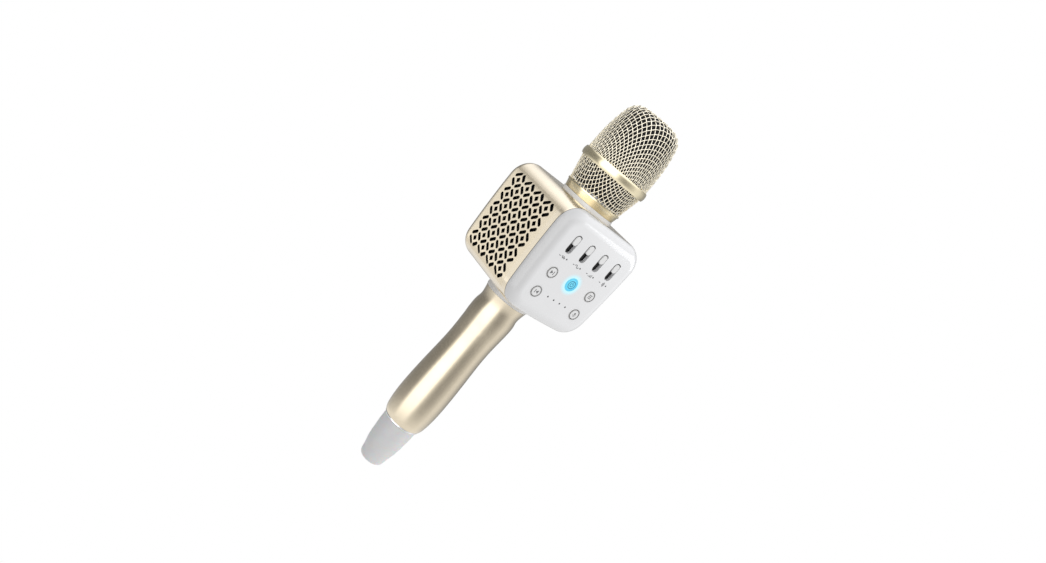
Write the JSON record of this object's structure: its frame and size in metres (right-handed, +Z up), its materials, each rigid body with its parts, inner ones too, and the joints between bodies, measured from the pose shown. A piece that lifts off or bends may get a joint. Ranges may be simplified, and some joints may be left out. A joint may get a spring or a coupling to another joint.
{
  "type": "karaoke microphone",
  "caption": "Hand-held karaoke microphone with a mesh head, a speaker box with slider and button panel, and a waisted gold grip with a frosted end cap.",
  "frame": {"origin": "on the long axis, at the end of the tail cap", "axes": "+Z up the long axis from tail to head, control panel facing -Y, sockets facing +Y, speakers facing -X and +X"},
  "size_m": [0.0778, 0.0729, 0.2952],
  "materials": {
    "gold_satin": "satin champagne paint",
    "gold_mesh": "woven wire",
    "white_gloss": "gloss",
    "frosted_white": "frosted",
    "chrome_trim": "polished",
    "white_knob": "gloss",
    "lit_ring": "translucent",
    "clear_pipe": "translucent",
    "black_plastic": "matte",
    "circuit_board": "solder mask",
    "steel": "zinc plated",
    "magnet": "sintered",
    "paper_cone": "coated paper",
    "rubber": "matte",
    "foam": "open cell foam",
    "cloth": "acoustic cloth",
    "cell_wrap": "shrink sleeve",
    "capsule_metal": "anodised"
  },
  "bodies": {
    "microphone": {"tail_cap": "frosted_white", "tail_trim_ring": "chrome_trim", "handle_tube": "gold_satin", "body_shell": "gold_satin", "back_cover": "gold_satin", "side_grille_left": "gold_satin", "side_grille_right": "gold_satin", "battery_cell": "cell_wrap", "battery_sleeve": "black_plastic", "slide_pot_1": "black_plastic", "slide_pot_2": "black_plastic", "slide_pot_3": "black_plastic", "slide_pot_4": "black_plastic", "board_components": "black_plastic", "line_jack": "black_plastic", "headphone_jack": "black_plastic", "battery_contacts": "steel", "chassis_screws": "steel", "board_screws": "steel", "speaker_screws": "steel", "charge_socket": "steel", "speaker_frame_left": "steel", "speaker_frame_right": "steel", "lower_collar": "white_gloss", "front_panel": "white_gloss", "neck_collar": "white_gloss", "handle_mount_tube": "capsule_metal", "mic_capsule": "capsule_metal", "grille_cloth_left": "cloth", "grille_cloth_right": "cloth", "speaker_magnet_left": "magnet", "speaker_magnet_right": "magnet", "speaker_surround_left": "rubber", "speaker_surround_right": "rubber", "capsule_mount": "rubber", "power_light_ring": "lit_ring", "tact_switch_power": "black_plastic", "tact_switch_upper_left": "black_plastic", "tact_switch_upper_right": "black_plastic", "tact_switch_lower_left": "black_plastic", "tact_switch_lower_right": "black_plastic", "indicator_light_pipe": "clear_pipe", "control_board": "circuit_board", "port_board": "circuit_board"},
    "head": {"head_lower_ring": "gold_satin", "lower_grille": "gold_mesh", "head_band": "gold_satin", "upper_grille": "gold_mesh", "foam_windscreen": "foam"},
    "slider_1": {"slider_knob_1": "white_knob"},
    "slider_2": {"slider_knob_2": "white_knob"},
    "slider_3": {"slider_knob_3": "white_knob"},
    "slider_4": {"slider_knob_4": "white_knob"},
    "power_button": {"power_button": "white_knob"},
    "button_upper_left": {"button_upper_left": "white_knob"},
    "button_upper_right": {"button_upper_right": "white_knob"},
    "button_lower_left": {"button_lower_left": "white_knob"},
    "button_lower_right": {"button_lower_right": "white_knob"},
    "cone_left": {"speaker_cone_left": "paper_cone"},
    "cone_right": {"speaker_cone_right": "paper_cone"}
  },
  "joints": [
    {"name": "slider_1_slide", "type": "slide", "parent": "microphone", "child": "slider_1", "axis": [0, 0, 1], "range_m": [-0.0059, 0]},
    {"name": "slider_2_slide", "type": "slide", "parent": "microphone", "child": "slider_2", "axis": [0, 0, 1], "range_m": [-0.0059, 0]},
    {"name": "slider_3_slide", "type": "slide", "parent": "microphone", "child": "slider_3", "axis": [0, 0, 1], "range_m": [-0.0059, 0]},
    {"name": "slider_4_slide", "type": "slide", "parent": "microphone", "child": "slider_4", "axis": [0, 0, 1], "range_m": [-0.0059, 0]},
    {"name": "power_button_press", "type": "slide", "parent": "microphone", "child": "power_button", "axis": [0, 1, 0], "range_m": [0, 0.0006], "stiffness_N_per_m": 500},
    {"name": "button_upper_left_press", "type": "slide", "parent": "microphone", "child": "button_upper_left", "axis": [0, 1, 0], "range_m": [0, 0.0006], "stiffness_N_per_m": 500},
    {"name": "button_upper_right_press", "type": "slide", "parent": "microphone", "child": "button_upper_right", "axis": [0, 1, 0], "range_m": [0, 0.0006], "stiffness_N_per_m": 500},
    {"name": "button_lower_left_press", "type": "slide", "parent": "microphone", "child": "button_lower_left", "axis": [0, 1, 0], "range_m": [0, 0.0006], "stiffness_N_per_m": 500},
    {"name": "button_lower_right_press", "type": "slide", "parent": "microphone", "child": "button_lower_right", "axis": [0, 1, 0], "range_m": [0, 0.0006], "stiffness_N_per_m": 500},
    {"name": "cone_left_travel", "type": "slide", "parent": "microphone", "child": "cone_left", "axis": [-0.9981, 0, -0.061], "range_m": [-0.0008, 0.0008], "stiffness_N_per_m": 800},
    {"name": "cone_right_travel", "type": "slide", "parent": "microphone", "child": "cone_right", "axis": [0.9981, 0, -0.061], "range_m": [-0.0008, 0.0008], "stiffness_N_per_m": 800},
    {"name": "head_unscrew", "type": "slide", "parent": "microphone", "child": "head", "axis": [0, 0, 1], "range_m": [0, 0.045]}
  ]
}
